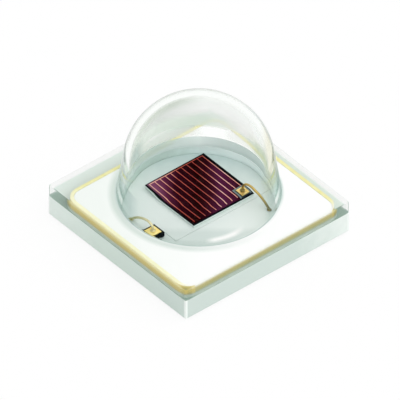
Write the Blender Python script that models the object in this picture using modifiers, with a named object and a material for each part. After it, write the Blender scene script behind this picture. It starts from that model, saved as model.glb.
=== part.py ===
"""Square ceramic power LED, 3 mm across, with a hollow clear dome over its chip. Metres, +Z up.

The package stands on its three solder pads at z = 0 and the dome's axis is the Z axis.
Left is -X, right is +X, front is -Y and back is +Y.
"""

import math

import bmesh
import bpy
from mathutils import Matrix, Vector

MM = 0.001

# Clearance between pieces that touch on the real product
SEAT_GAP = 0.002 * MM

# Ceramic base and the solder pads under it
CERAMIC_THICKNESS = 0.33 * MM
CERAMIC_BEVEL = 0.012 * MM
PAD_THICKNESS = 0.028 * MM
PAD_END_INSET = 0.2 * MM
PAD_CORNER = 0.03 * MM
ELECTRODE_PAD_INSET = 0.15 * MM
ELECTRODE_PAD_WIDTH = 0.5 * MM
PAD_SPACING = 0.2 * MM

# Round cavity under the dome and the ring that lines it
CAVITY_RADIUS = 1.09 * MM
RING_WALL = 0.04 * MM

# Clear dome: a sphere over a drafted skirt, one wall thick, whose foot stands just outside the cavity
FOOT_OVERHANG = 0.0755 * MM
DOME_CENTRE_ABOVE_CERAMIC = 0.714 * MM
DOME_WALL = 0.1 * MM
DOME_DRAFT = math.radians(8)
DOME_FILLET = 0.07 * MM
FILLET_SINK = 0.004 * MM

# Clear flange moulded in one piece with the dome
FLANGE_THICKNESS = 0.203 * MM
FLANGE_COVER = 0.04 * MM

# Thin upper ceramic layer that carries the gold frame and the white layer, and the clear cover over the frame
STEP_THICKNESS = 0.05 * MM
FRAME_COVER = 0.02 * MM

# Gold frame: the white strip inside each of its sides and the bare edge outside it
WHITE_LEFT = 0.012 * MM
WHITE_RIGHT = 0.346 * MM
WHITE_FRONT = 0.295 * MM
WHITE_BACK = 0.17 * MM
FRAME_WIDTH = 0.055 * MM
FRAME_WIDTH_RIGHT = 0.014 * MM
FRAME_CORNER = 0.23 * MM
EDGE_LEFT = 0.303 * MM
EDGE_RIGHT = 0.01 * MM
EDGE_FRONT = 0.02 * MM
EDGE_BACK = 0.145 * MM
WHITE_DROP = 0.004 * MM

# Metal lands on the cavity's floor, split by a narrow bare line
LAND_THICKNESS = 0.012 * MM
LAND_WALL_GAP = 0.012 * MM
LAND_SPLIT = 0.006 * MM
LAND_CHIP_MARGIN = 0.06 * MM
LAND_DIODE_MARGIN = 0.06 * MM

# Filled vias from the lands down to the electrode pads
VIA_RADIUS = 0.06 * MM
VIA_WALL_INSET = 0.14 * MM
VIA_SPACING = 0.4 * MM

# Light emitting chip
CHIP_SIDE = 1.11 * MM
CHIP_OFFSET_X = -0.2 * MM
CHIP_OFFSET_Y = 0.166 * MM
ATTACH_THICKNESS = 0.012 * MM
ATTACH_INSET = 0.01 * MM
CARRIER_THICKNESS = 0.028 * MM
EPI_THICKNESS = 0.012 * MM
EPI_INSET = 0.025 * MM

# Contact grid and bond pad on the chip
GRID_THICKNESS = 0.006 * MM
GRID_INSET = 0.02 * MM
GRID_INSET_BACK = 0.04 * MM
GRID_LINE = 0.01 * MM
FINGER_PITCH = 0.1 * MM
BOND_PAD_SIDE = 0.14 * MM
BOND_PAD_THICKNESS = 0.01 * MM
BOND_PAD_INSET_RIGHT = 0.027 * MM
BOND_PAD_INSET_BACK = 0.055 * MM
BOND_PAD_BORDER = 0.034 * MM

# Protection diode, whose front corner lies a small gap inside the cavity's wall
DIODE_LENGTH = 0.225 * MM
DIODE_WIDTH = 0.225 * MM
DIODE_HEIGHT = 0.075 * MM
DIODE_WALL_GAP = 0.013 * MM
DIODE_X = 0.13 * MM
DIODE_PAD_SIDE = 0.165 * MM
DIODE_PAD_THICKNESS = 0.008 * MM

# Bond wires, each a ball, a loop and a flat stitch
WIRE_DIAMETER = 0.036 * MM
BALL_RADIUS = 0.038 * MM
BALL_HEIGHT = 0.026 * MM
STITCH_RADIUS = 0.034 * MM
STITCH_HEIGHT = 0.02 * MM
STITCH_WALL_GAP = 0.066 * MM
LOOP_REACH = 0.3
LOOP_DROP = 0.85
CHIP_WIRE_ANGLE = math.radians(42)
CHIP_WIRE_RISE = 0.27 * MM
DIODE_WIRE_ANGLE = math.radians(-110)
DIODE_WIRE_RISE = 0.2 * MM

# Facets
DOME_SEGMENTS = 72
DOME_RINGS = 12
FILLET_RINGS = 4
CORNER_SEGMENTS = 6
VIA_SEGMENTS = 20
WIRE_POINTS = 22

# Heights that follow from the sizes above
CERAMIC_BOTTOM = PAD_THICKNESS + SEAT_GAP
CERAMIC_TOP = CERAMIC_BOTTOM + CERAMIC_THICKNESS
LAYER_BOTTOM = CERAMIC_TOP + SEAT_GAP
FLANGE_TOP = CERAMIC_TOP + FLANGE_THICKNESS
RING_TOP = FLANGE_TOP - FLANGE_COVER
DOME_CENTRE_Z = CERAMIC_TOP + DOME_CENTRE_ABOVE_CERAMIC
LAND_TOP = LAYER_BOTTOM + LAND_THICKNESS
STEP_TOP = LAYER_BOTTOM + STEP_THICKNESS
FRAME_BOTTOM = STEP_TOP + SEAT_GAP
FRAME_TOP = FLANGE_TOP - FRAME_COVER
FRAME_HEIGHT = FRAME_TOP - FRAME_BOTTOM
WHITE_THICKNESS = FRAME_HEIGHT - WHITE_DROP
RING_OUTER = CAVITY_RADIUS + RING_WALL
FOOT_RADIUS = CAVITY_RADIUS + FOOT_OVERHANG
DOME_RADIUS = (FOOT_RADIUS - (DOME_CENTRE_Z - FLANGE_TOP) * math.tan(DOME_DRAFT)) * math.cos(DOME_DRAFT)
LAND_RADIUS = CAVITY_RADIUS - LAND_WALL_GAP

# Frame and package edges that follow from the cavity
FRAME_LEFT = -(RING_OUTER + WHITE_LEFT + FRAME_WIDTH)
FRAME_RIGHT = RING_OUTER + WHITE_RIGHT + FRAME_WIDTH_RIGHT
FRAME_FRONT = -(RING_OUTER + WHITE_FRONT + FRAME_WIDTH)
FRAME_BACK = RING_OUTER + WHITE_BACK + FRAME_WIDTH
BODY_LEFT = FRAME_LEFT - EDGE_LEFT
BODY_RIGHT = FRAME_RIGHT + EDGE_RIGHT
BODY_FRONT = FRAME_FRONT - EDGE_FRONT
BODY_BACK = FRAME_BACK + EDGE_BACK

# Chip edges and levels
CHIP_LEFT = CHIP_OFFSET_X - CHIP_SIDE / 2
CHIP_RIGHT = CHIP_OFFSET_X + CHIP_SIDE / 2
CHIP_FRONT = CHIP_OFFSET_Y - CHIP_SIDE / 2
CHIP_BACK = CHIP_OFFSET_Y + CHIP_SIDE / 2
ATTACH_BOTTOM = LAND_TOP + SEAT_GAP
CARRIER_BOTTOM = ATTACH_BOTTOM + ATTACH_THICKNESS + SEAT_GAP
EPI_BOTTOM = CARRIER_BOTTOM + CARRIER_THICKNESS + SEAT_GAP
GRID_BOTTOM = EPI_BOTTOM + EPI_THICKNESS + SEAT_GAP
BOND_PAD_X = CHIP_RIGHT - BOND_PAD_INSET_RIGHT - BOND_PAD_SIDE / 2
BOND_PAD_Y = CHIP_BACK - BOND_PAD_INSET_BACK - BOND_PAD_SIDE / 2

# Diode place and levels
DIODE_FRONT = -math.sqrt((CAVITY_RADIUS - DIODE_WALL_GAP) ** 2 - (DIODE_X + DIODE_LENGTH / 2) ** 2)
DIODE_Y = DIODE_FRONT + DIODE_WIDTH / 2
DIODE_BOTTOM = ATTACH_BOTTOM + ATTACH_THICKNESS + SEAT_GAP
DIODE_TOP = DIODE_BOTTOM + DIODE_HEIGHT

# Edges of the wire land, which passes right of the chip and turns in under the diode
WIRE_LAND_LEFT = CHIP_RIGHT + LAND_CHIP_MARGIN
WIRE_LAND_STEP = DIODE_Y + DIODE_WIDTH / 2 + LAND_DIODE_MARGIN
WIRE_LAND_TOE = DIODE_X - DIODE_LENGTH / 2 - LAND_DIODE_MARGIN

PARTS = "smd_led"
CUTTERS = "cutters"


def clear_scene():
    for item in list(bpy.data.objects):
        bpy.data.objects.remove(item, do_unlink=True)


def collection(name):
    found = bpy.data.collections.get(name)
    if found is None:
        found = bpy.data.collections.new(name)
        bpy.context.scene.collection.children.link(found)
    return found


def material(name, colour, roughness, metallic=0.0, alpha=1.0):
    made = bpy.data.materials.new(name)
    made.use_nodes = True
    shader = made.node_tree.nodes["Principled BSDF"]
    shader.inputs["Base Color"].default_value = (*colour, 1.0)
    shader.inputs["Roughness"].default_value = roughness
    shader.inputs["Metallic"].default_value = metallic
    shader.inputs["Alpha"].default_value = alpha
    made.diffuse_color = (*colour, alpha)
    return made


def add_object(name, mesh, group, finish=None):
    made = bpy.data.objects.new(name, mesh)
    collection(group).objects.link(made)
    if finish is not None:
        mesh.materials.append(finish)
    if group == CUTTERS:
        made.hide_render = True
        made.display_type = "WIRE"
    return made


def mesh_from(bm, name):
    bmesh.ops.recalc_face_normals(bm, faces=bm.faces)
    mesh = bpy.data.meshes.new(name)
    bm.to_mesh(mesh)
    bm.free()
    return mesh


def shade_round(mesh, angle=35):
    mesh.shade_smooth()
    mesh.set_sharp_from_angle(angle=math.radians(angle))


# Flat piece with the given outline, listed anticlockwise
def prism(name, outline, bottom, thickness, finish=None, group=PARTS):
    bm = bmesh.new()
    low = [bm.verts.new((x, y, bottom)) for x, y in outline]
    high = [bm.verts.new((x, y, bottom + thickness)) for x, y in outline]
    bm.faces.new(reversed(low))
    bm.faces.new(high)
    for index in range(len(outline)):
        after = (index + 1) % len(outline)
        bm.faces.new((low[index], low[after], high[after], high[index]))
    return add_object(name, mesh_from(bm, name), group, finish)


# A block between opposite corners, with its upright edges rounded where a corner radius is given
def block(name, low, high, finish=None, corner=0.0, group=PARTS):
    size = Vector(high) - Vector(low)
    centre = (Vector(high) + Vector(low)) / 2
    bm = bmesh.new()
    bmesh.ops.create_cube(bm, size=1.0, matrix=Matrix.Diagonal((*size, 1.0)))
    if corner > 0:
        upright = [edge for edge in bm.edges if abs(edge.verts[0].co.z - edge.verts[1].co.z) > size.z / 2]
        bmesh.ops.bevel(bm, geom=upright, offset=corner, segments=CORNER_SEGMENTS, profile=0.5, affect="EDGES")
    mesh = mesh_from(bm, name)
    if corner > 0:
        shade_round(mesh)
    made = add_object(name, mesh, group, finish)
    made.location = centre
    return made


def cylinder(name, centre, radius, height, finish=None, segments=VIA_SEGMENTS, group=PARTS):
    bm = bmesh.new()
    bmesh.ops.create_cone(bm, cap_ends=True, segments=segments, radius1=radius, radius2=radius, depth=height)
    mesh = mesh_from(bm, name)
    shade_round(mesh)
    made = add_object(name, mesh, group, finish)
    made.location = centre
    return made


# A turned shape from a profile of radius and height pairs, listed down its outer side
def turned(name, profile, finish=None, closed=False, group=PARTS):
    bm = bmesh.new()
    points = [bm.verts.new((radius, 0.0, height)) for radius, height in profile]
    for first, second in zip(points, points[1:]):
        bm.edges.new((first, second))
    if closed:
        bm.edges.new((points[-1], points[0]))
    mesh = bpy.data.meshes.new(name)
    bm.to_mesh(mesh)
    bm.free()
    made = add_object(name, mesh, group, finish)
    screw = made.modifiers.new("Turn", "SCREW")
    screw.axis = "Z"
    screw.steps = DOME_SEGMENTS
    screw.render_steps = DOME_SEGMENTS
    screw.use_merge_vertices = True
    screw.merge_threshold = 1e-9
    screw.use_smooth_shade = True
    return made


def boolean(target, other, operation):
    step = target.modifiers.new(other.name, "BOOLEAN")
    step.operation = operation
    step.solver = "EXACT"
    step.object = other
    return step


def skirt_radius(height, outer=True):
    radius = DOME_RADIUS if outer else DOME_RADIUS - DOME_WALL
    tangent = DOME_CENTRE_Z + radius * math.sin(DOME_DRAFT)
    return radius * math.cos(DOME_DRAFT) + (tangent - height) * math.tan(DOME_DRAFT)


# Points of the dome's round top, from its apex down to where the skirt begins
def dome_arc(radius):
    steps = range(DOME_RINGS + 1)
    angles = [math.pi / 2 + (DOME_DRAFT - math.pi / 2) * step / DOME_RINGS for step in steps]
    arc = [(radius * math.cos(angle), DOME_CENTRE_Z + radius * math.sin(angle)) for angle in angles]
    return [(0.0, arc[0][1])] + arc[1:]


# Concave fillet at the dome's foot, which dips just under the flange's top face
def foot_fillet():
    level = FLANGE_TOP - FILLET_SINK + DOME_FILLET
    centre = skirt_radius(level) + DOME_FILLET / math.cos(DOME_DRAFT)
    start = math.pi + DOME_DRAFT
    points = []
    for step in range(FILLET_RINGS + 1):
        angle = start + (1.5 * math.pi - start) * step / FILLET_RINGS
        points.append((centre + DOME_FILLET * math.cos(angle), level + DOME_FILLET * math.sin(angle)))
    return points


def dome_outline():
    sunk = FLANGE_TOP - FLANGE_THICKNESS / 2
    fillet = foot_fillet()
    return dome_arc(DOME_RADIUS) + fillet + [(fillet[-1][0], sunk), (0.0, sunk)]


def cavity_outline():
    below = LAYER_BOTTOM - FLANGE_THICKNESS / 4
    ceiling = RING_TOP + SEAT_GAP
    pocket = RING_OUTER + SEAT_GAP
    arc = dome_arc(DOME_RADIUS - DOME_WALL)
    return arc + [(skirt_radius(ceiling, outer=False), ceiling), (pocket, ceiling), (pocket, below), (0.0, below)]


def add_ceramic_base(finish):
    low = (BODY_LEFT, BODY_FRONT, CERAMIC_BOTTOM)
    base = block("ceramic_substrate", low, (BODY_RIGHT, BODY_BACK, CERAMIC_TOP), finish)
    edge = base.modifiers.new("Edge", "BEVEL")
    edge.width = CERAMIC_BEVEL
    edge.segments = 2
    edge.limit_method = "ANGLE"
    for name, x, y in via_places():
        centre = (x, y, (CERAMIC_BOTTOM + CERAMIC_TOP) / 2)
        hole = cylinder(name + "_hole", centre, VIA_RADIUS + SEAT_GAP, 2 * CERAMIC_THICKNESS, group=CUTTERS)
        boolean(base, hole, "DIFFERENCE")


def via_places():
    reach = CAVITY_RADIUS - VIA_WALL_INSET
    places = []
    for side, x in (("left", -reach), ("right", reach)):
        places.append((f"via_{side}_front", x, -VIA_SPACING / 2))
        places.append((f"via_{side}_back", x, VIA_SPACING / 2))
    return places


def add_vias(finish):
    for name, x, y in via_places():
        centre = (x, y, (CERAMIC_BOTTOM + CERAMIC_TOP) / 2)
        cylinder(name, centre, VIA_RADIUS, CERAMIC_THICKNESS, finish)


def add_pads(finish):
    front = BODY_FRONT + PAD_END_INSET
    back = BODY_BACK - PAD_END_INSET
    left = BODY_LEFT + ELECTRODE_PAD_INSET
    right = BODY_RIGHT - ELECTRODE_PAD_INSET
    inner_left = left + ELECTRODE_PAD_WIDTH
    inner_right = right - ELECTRODE_PAD_WIDTH
    spans = (
        ("cathode_pad", left, inner_left),
        ("thermal_pad", inner_left + PAD_SPACING, inner_right - PAD_SPACING),
        ("anode_pad", inner_right, right),
    )
    for name, start, end in spans:
        block(name, (start, front, 0.0), (end, back, PAD_THICKNESS), finish, corner=PAD_CORNER)


def add_ceramic_step(finish):
    low = (FRAME_LEFT, FRAME_FRONT, LAYER_BOTTOM)
    step = block("ceramic_upper_layer", low, (FRAME_RIGHT, FRAME_BACK, STEP_TOP), finish, corner=FRAME_CORNER)
    cut_round_opening(step, (LAYER_BOTTOM + STEP_TOP) / 2, STEP_THICKNESS)


# Cuts the round opening that the cavity's ring passes through
def cut_round_opening(target, middle, thickness):
    opening = cylinder(
        target.name + "_opening",
        (0.0, 0.0, middle),
        RING_OUTER + SEAT_GAP,
        2 * thickness,
        segments=DOME_SEGMENTS,
        group=CUTTERS,
    )
    boolean(target, opening, "DIFFERENCE")


def add_frame(finish):
    low = (FRAME_LEFT, FRAME_FRONT, FRAME_BOTTOM)
    high = (FRAME_RIGHT, FRAME_BACK, FRAME_TOP)
    frame = block("gold_frame", low, high, finish, corner=FRAME_CORNER)
    inside = block(
        "gold_frame_window",
        (FRAME_LEFT + FRAME_WIDTH, FRAME_FRONT + FRAME_WIDTH, FRAME_BOTTOM - FRAME_HEIGHT),
        (FRAME_RIGHT - FRAME_WIDTH_RIGHT, FRAME_BACK - FRAME_WIDTH, FRAME_TOP + FRAME_HEIGHT),
        corner=FRAME_CORNER - FRAME_WIDTH,
        group=CUTTERS,
    )
    boolean(frame, inside, "DIFFERENCE")


def add_white_layer(finish):
    inset = FRAME_WIDTH + SEAT_GAP
    low = (FRAME_LEFT + inset, FRAME_FRONT + inset, FRAME_BOTTOM)
    right = FRAME_RIGHT - FRAME_WIDTH_RIGHT - SEAT_GAP
    high = (right, FRAME_BACK - inset, FRAME_BOTTOM + WHITE_THICKNESS)
    layer = block("white_layer", low, high, finish, corner=FRAME_CORNER - inset)
    cut_round_opening(layer, FRAME_BOTTOM + WHITE_THICKNESS / 2, WHITE_THICKNESS)


def add_cavity_ring(finish):
    profile = [(RING_OUTER, RING_TOP), (RING_OUTER, LAYER_BOTTOM), (CAVITY_RADIUS, LAYER_BOTTOM), (CAVITY_RADIUS, RING_TOP)]
    turned("cavity_ring", profile, finish, closed=True)


def add_lens(finish):
    low = (BODY_LEFT, BODY_FRONT, LAYER_BOTTOM)
    lens = block("lens", low, (BODY_RIGHT, BODY_BACK, FLANGE_TOP), finish)
    dome = turned("lens_dome", dome_outline(), group=CUTTERS)
    pocket = block(
        "lens_pocket",
        (FRAME_LEFT - SEAT_GAP, FRAME_FRONT - SEAT_GAP, LAYER_BOTTOM - FRAME_HEIGHT),
        (FRAME_RIGHT + SEAT_GAP, FRAME_BACK + SEAT_GAP, FRAME_TOP + SEAT_GAP),
        corner=FRAME_CORNER + SEAT_GAP,
        group=CUTTERS,
    )
    cavity = turned("lens_cavity", cavity_outline(), group=CUTTERS)
    boolean(lens, dome, "UNION")
    boolean(lens, pocket, "DIFFERENCE")
    boolean(lens, cavity, "DIFFERENCE")


# Two blocks that together cover the wire land, grown by a margin
def wire_land_blocks(name, margin, reach):
    bottom = LAYER_BOTTOM - LAND_THICKNESS
    top = LAND_TOP + LAND_THICKNESS
    side = block(
        name + "_side",
        (WIRE_LAND_LEFT - margin, -reach, bottom),
        (reach, reach, top),
        group=CUTTERS,
    )
    toe = block(
        name + "_toe",
        (WIRE_LAND_TOE - margin, -reach - LAND_SPLIT, bottom - LAND_SPLIT),
        (reach + LAND_SPLIT, WIRE_LAND_STEP + margin, top + LAND_SPLIT),
        group=CUTTERS,
    )
    return side, toe


def add_lands(finish):
    centre = (0.0, 0.0, LAYER_BOTTOM + LAND_THICKNESS / 2)
    reach = CAVITY_RADIUS + RING_WALL
    die = cylinder("die_land", centre, LAND_RADIUS, LAND_THICKNESS, finish, segments=DOME_SEGMENTS)
    for cutter in wire_land_blocks("die_land_cut", LAND_SPLIT, reach):
        boolean(die, cutter, "DIFFERENCE")
    wire = cylinder("wire_land", centre, LAND_RADIUS, LAND_THICKNESS, finish, segments=DOME_SEGMENTS)
    side, toe = wire_land_blocks("wire_land_keep", 0.0, reach)
    boolean(side, toe, "UNION")
    boolean(wire, side, "INTERSECT")


def add_chip(attach_finish, carrier_finish, epi_finish):
    inset = ATTACH_INSET
    block(
        "die_attach",
        (CHIP_LEFT + inset, CHIP_FRONT + inset, ATTACH_BOTTOM),
        (CHIP_RIGHT - inset, CHIP_BACK - inset, ATTACH_BOTTOM + ATTACH_THICKNESS),
        attach_finish,
    )
    block(
        "chip_carrier",
        (CHIP_LEFT, CHIP_FRONT, CARRIER_BOTTOM),
        (CHIP_RIGHT, CHIP_BACK, CARRIER_BOTTOM + CARRIER_THICKNESS),
        carrier_finish,
    )
    block(
        "emitter_layer",
        (CHIP_LEFT + EPI_INSET, CHIP_FRONT + EPI_INSET, EPI_BOTTOM),
        (CHIP_RIGHT - EPI_INSET, CHIP_BACK - EPI_INSET, EPI_BOTTOM + EPI_THICKNESS),
        epi_finish,
    )


# A comb of fingers along X, joined by a bar down the chip's left side and kept clear of the bond pad
def add_contact_grid(finish):
    left = CHIP_LEFT + EPI_INSET + GRID_INSET
    right = CHIP_RIGHT - EPI_INSET - GRID_INSET
    front = CHIP_FRONT + EPI_INSET + GRID_INSET
    back = CHIP_BACK - EPI_INSET - GRID_INSET_BACK
    root = left + GRID_LINE
    span = back - front - GRID_LINE
    count = max(2, round(span / FINGER_PITCH) + 1)
    reach = BOND_PAD_SIDE / 2 + BOND_PAD_BORDER
    outline = [(left, back), (left, front)]
    for index in range(count):
        low = front + span * index / (count - 1)
        high = low + GRID_LINE
        meets_pad = high > BOND_PAD_Y - reach and low < BOND_PAD_Y + reach
        end = BOND_PAD_X - reach if meets_pad else right
        if index > 0:
            outline.append((root, low))
        outline.append((end, low))
        outline.append((end, high))
        if index < count - 1:
            outline.append((root, high))
    prism("contact_grid", outline, GRID_BOTTOM, GRID_THICKNESS, finish)


def add_bond_pad(finish):
    half = BOND_PAD_SIDE / 2
    block(
        "chip_bond_pad",
        (BOND_PAD_X - half, BOND_PAD_Y - half, GRID_BOTTOM),
        (BOND_PAD_X + half, BOND_PAD_Y + half, GRID_BOTTOM + BOND_PAD_THICKNESS),
        finish,
    )


def add_diode(attach_finish, body_finish, pad_finish):
    half_length = DIODE_LENGTH / 2
    half_width = DIODE_WIDTH / 2
    half_pad = DIODE_PAD_SIDE / 2
    inset = ATTACH_INSET
    block(
        "diode_attach",
        (DIODE_X - half_length + inset, DIODE_Y - half_width + inset, ATTACH_BOTTOM),
        (DIODE_X + half_length - inset, DIODE_Y + half_width - inset, ATTACH_BOTTOM + ATTACH_THICKNESS),
        attach_finish,
    )
    block(
        "protection_diode",
        (DIODE_X - half_length, DIODE_Y - half_width, DIODE_BOTTOM),
        (DIODE_X + half_length, DIODE_Y + half_width, DIODE_TOP),
        body_finish,
    )
    pad_bottom = DIODE_TOP + SEAT_GAP
    block(
        "diode_pad",
        (DIODE_X - half_pad, DIODE_Y - half_pad, pad_bottom),
        (DIODE_X + half_pad, DIODE_Y + half_pad, pad_bottom + DIODE_PAD_THICKNESS),
        pad_finish,
    )


# Points of a wire loop that leaves its ball upright and slopes down to its stitch
def loop_points(start, end, rise):
    lift = Vector((0.0, 0.0, rise))
    along = end - start
    along.z = 0.0
    handles = (start, start + lift, end - along * LOOP_REACH + lift * LOOP_DROP, end)
    points = []
    for step in range(WIRE_POINTS + 1):
        t = step / WIRE_POINTS
        weights = ((1 - t) ** 3, 3 * t * (1 - t) ** 2, 3 * t * t * (1 - t), t ** 3)
        points.append(sum((handle * weight for handle, weight in zip(handles, weights)), Vector()))
    return points


# A curve turned into a closed mesh, so that it can be joined to its ball and stitch
def tube(name, points, diameter, group):
    curve = bpy.data.curves.new(name + "_curve", "CURVE")
    curve.dimensions = "3D"
    curve.bevel_depth = diameter / 2
    curve.bevel_resolution = 2
    curve.use_fill_caps = True
    spline = curve.splines.new("POLY")
    spline.points.add(len(points) - 1)
    for place, point in zip(spline.points, points):
        place.co = (*point, 1.0)
    path = bpy.data.objects.new(name + "_curve", curve)
    collection(CUTTERS).objects.link(path)
    bpy.context.view_layer.update()
    mesh = bpy.data.meshes.new_from_object(path.evaluated_get(bpy.context.evaluated_depsgraph_get()))
    matrix = path.matrix_world.copy()
    bpy.data.objects.remove(path, do_unlink=True)
    bm = bmesh.new()
    bm.from_mesh(mesh)
    bmesh.ops.remove_doubles(bm, verts=bm.verts, dist=diameter / 1000)
    bmesh.ops.recalc_face_normals(bm, faces=bm.faces)
    bm.to_mesh(mesh)
    bm.free()
    made = add_object(name, mesh, group)
    made.matrix_world = matrix
    return made


def add_wire(name, pad_top, foot, rise, finish):
    ball_bottom = pad_top + Vector((0.0, 0.0, SEAT_GAP))
    ball_centre = ball_bottom + Vector((0.0, 0.0, BALL_HEIGHT / 2))
    ball = cylinder(name, ball_centre, BALL_RADIUS, BALL_HEIGHT, finish)
    stitch_centre = foot + Vector((0.0, 0.0, SEAT_GAP + STITCH_HEIGHT / 2))
    stitch = cylinder(name + "_stitch", stitch_centre, STITCH_RADIUS, STITCH_HEIGHT, group=CUTTERS)
    loop = tube(name + "_loop", loop_points(ball_centre, stitch_centre, rise), WIRE_DIAMETER, CUTTERS)
    boolean(ball, loop, "UNION")
    boolean(ball, stitch, "UNION")


def wall_place(angle, inset, height):
    reach = CAVITY_RADIUS - inset
    return Vector((reach * math.cos(angle), reach * math.sin(angle), height))


def add_wires(finish):
    chip_pad_top = Vector((BOND_PAD_X, BOND_PAD_Y, GRID_BOTTOM + BOND_PAD_THICKNESS))
    chip_foot = wall_place(CHIP_WIRE_ANGLE, STITCH_WALL_GAP + STITCH_RADIUS, LAND_TOP)
    add_wire("chip_bond_wire", chip_pad_top, chip_foot, CHIP_WIRE_RISE, finish)
    diode_pad_top = Vector((DIODE_X, DIODE_Y, DIODE_TOP + SEAT_GAP + DIODE_PAD_THICKNESS))
    diode_foot = wall_place(DIODE_WIRE_ANGLE, STITCH_WALL_GAP + STITCH_RADIUS, LAND_TOP)
    add_wire("diode_bond_wire", diode_pad_top, diode_foot, DIODE_WIRE_RISE, finish)


def build():
    clear_scene()
    ceramic = material("pale grey ceramic", (0.62, 0.68, 0.64), 0.5)
    ring = material("grey ring", (0.55, 0.62, 0.58), 0.5)
    white = material("white reflective layer", (0.9, 0.9, 0.88), 0.6)
    gold = material("gold plating", (0.83, 0.66, 0.28), 0.3, metallic=1.0)
    silver = material("silver land", (0.7, 0.74, 0.71), 0.35, metallic=0.6)
    solder = material("die attach solder", (0.45, 0.46, 0.46), 0.5, metallic=0.8)
    carrier = material("dark chip carrier", (0.03, 0.035, 0.04), 0.4)
    emitter = material("dark red emitter", (0.09, 0.0, 0.012), 0.25)
    contact = material("copper coloured contacts", (0.68, 0.22, 0.12), 0.35, metallic=0.8)
    silicon = material("dark silicon", (0.02, 0.025, 0.03), 0.35)
    clear = material("clear lens", (0.93, 0.96, 0.94), 0.02, alpha=0.35)
    add_ceramic_base(ceramic)
    add_vias(silver)
    add_pads(gold)
    add_ceramic_step(ceramic)
    add_frame(gold)
    add_white_layer(white)
    add_cavity_ring(ring)
    add_lands(silver)
    add_chip(solder, carrier, emitter)
    add_contact_grid(contact)
    add_bond_pad(gold)
    add_diode(solder, silicon, gold)
    add_wires(gold)
    add_lens(clear)
    bpy.context.view_layer.update()


build()
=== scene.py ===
"""Looks of the square ceramic power LED: its finishes, its smooth clear lens, wires, light and camera."""

import math
from types import SimpleNamespace

import bmesh
import bpy
from mathutils import Matrix, Vector


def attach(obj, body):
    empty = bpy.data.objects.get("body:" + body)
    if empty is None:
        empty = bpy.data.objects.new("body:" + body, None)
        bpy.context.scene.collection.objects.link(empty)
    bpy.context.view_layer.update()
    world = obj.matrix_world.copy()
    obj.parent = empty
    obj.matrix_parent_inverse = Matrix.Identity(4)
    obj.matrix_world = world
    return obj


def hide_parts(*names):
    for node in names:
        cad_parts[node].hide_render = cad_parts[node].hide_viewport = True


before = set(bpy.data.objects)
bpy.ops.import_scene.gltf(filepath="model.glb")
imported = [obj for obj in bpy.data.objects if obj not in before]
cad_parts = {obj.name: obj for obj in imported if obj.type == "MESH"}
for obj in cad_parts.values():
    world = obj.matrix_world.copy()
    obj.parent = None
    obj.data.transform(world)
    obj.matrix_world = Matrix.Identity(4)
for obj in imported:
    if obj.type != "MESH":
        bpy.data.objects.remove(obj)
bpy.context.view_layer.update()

MM = 0.001

# View of the photograph: an orthographic look down on the front corner
AZIMUTH = math.radians(50.0)
ELEVATION = math.radians(40.44)
PIXELS_PER_MM = 71.22
FRAME_PIXELS = 400
ORIGIN_PIXEL = (198.9, 223.6)
CAMERA_DISTANCE = 40

# Level directions as that view shows them, in degrees from +X
RIGHTWARD = 50
BACKWARD = 140

# Lamp: its direction, strength and apparent size, with the angles in degrees
KEY_AZIMUTH = 20
KEY_ELEVATION = 50
KEY_STRENGTH = 1.03
KEY_SIZE = 80
LAMP_DISTANCE = 30

# White surroundings: the share of the floor's own light where it is seen plainly,
# and the world's strength for all the other rays
FLOOR_SIZE = 200
FLOOR_WHITE = 0.98
FLOOR_GLOW = 0.88
WORLD_FILL = 0.77

# The floor lies this little above the pads' lower faces, so that it never flickers through them from below
FLOOR_LEVEL = 0.0005

# Sizes of the lens in millimetres, the same as in the part
LENS_BOTTOM = 0.3625
FLANGE_TOP = 0.563
FLANGE_INSET = 0.001
FLANGE_CHAMFER = 0.006
FLANGE_CORNER = 0.026
DOME_RADIUS = 1.083
DOME_WALL = 0.1
DOME_CENTRE = 1.074
DOME_DRAFT = math.radians(8)
DOME_FILLET = 0.07
RING_TOP = 0.523
RING_INNER = 1.09
RING_OUTER = 1.13
BODY_HALF = 1.5
FRAME_BOTTOM = 0.414
FRAME_TOP = 0.543
LENS_POINTS = 256

# The clear material is bonded to the ring, so its faces lie this far inside it
BOND_DEPTH = 0.003

# Bending of light in the flange and in the dome, and the strongest painted veil, painted reflection and
# shade, on the dome's back wall
LENS_IOR = 1.41
DOME_IOR = 1.2
PAINTED_VEIL = 0.82

# Limits on the lens, in millimetres: the middle of the dome's wall from its centre, the outer face and the
# hollow's wall from the axis, the end of the foot, the height of the grey band over the ring, and the flanks
# right and left of the axis
WALL_MIDDLE = DOME_RADIUS - DOME_WALL / 2
OUTER_FACE = 1.1
SKIRT_INSIDE = 1.078
FOOT_END = (1.2, 1.17)
FOOT_BAND = (0.74, 0.725)
RIGHT_FLANK = (0.68, 0.84)
LEFT_FLANK = (-0.78, -0.9)

# With an index this high the Fresnel value is 1 only for rays inside the clear material, and less for those
# in the hollow
SIDE_TEST_IOR = 40.0

# Reach from the middle at which the package's upright corner edges begin
CORNER_EDGE = (1.455, 1.475)

# Places of the bond wires, the same as in the part
LAND_TOP = 0.374
STITCH_REACH = 0.99
CHIP_WIRE_ANGLE = math.radians(42)
CHIP_WIRE_RISE = 0.27
DIODE_WIRE_ANGLE = math.radians(-110)
DIODE_WIRE_RISE = 0.2
WIRE_RADIUS = 0.018
BALL_RADIUS = 0.038
BALL_HEIGHT = 0.026
STITCH_RADIUS = 0.034
STITCH_HEIGHT = 0.02
STITCH_START = 0.93

# Widths on the chip's face, in millimetres: the bond pad's surround, the line in it, and the black margin
SURROUND = (0.04, 0.03)
LINE_START = (0.008, 0.016)
LINE_END = (0.042, 0.034)
MARGIN = (0.04, 0.03)

# Gloss of the chip's dark faces, which hardly mirror anything
DARK_SPECULAR = 0.04
EMITTER_SPECULAR = 0.02


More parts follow.
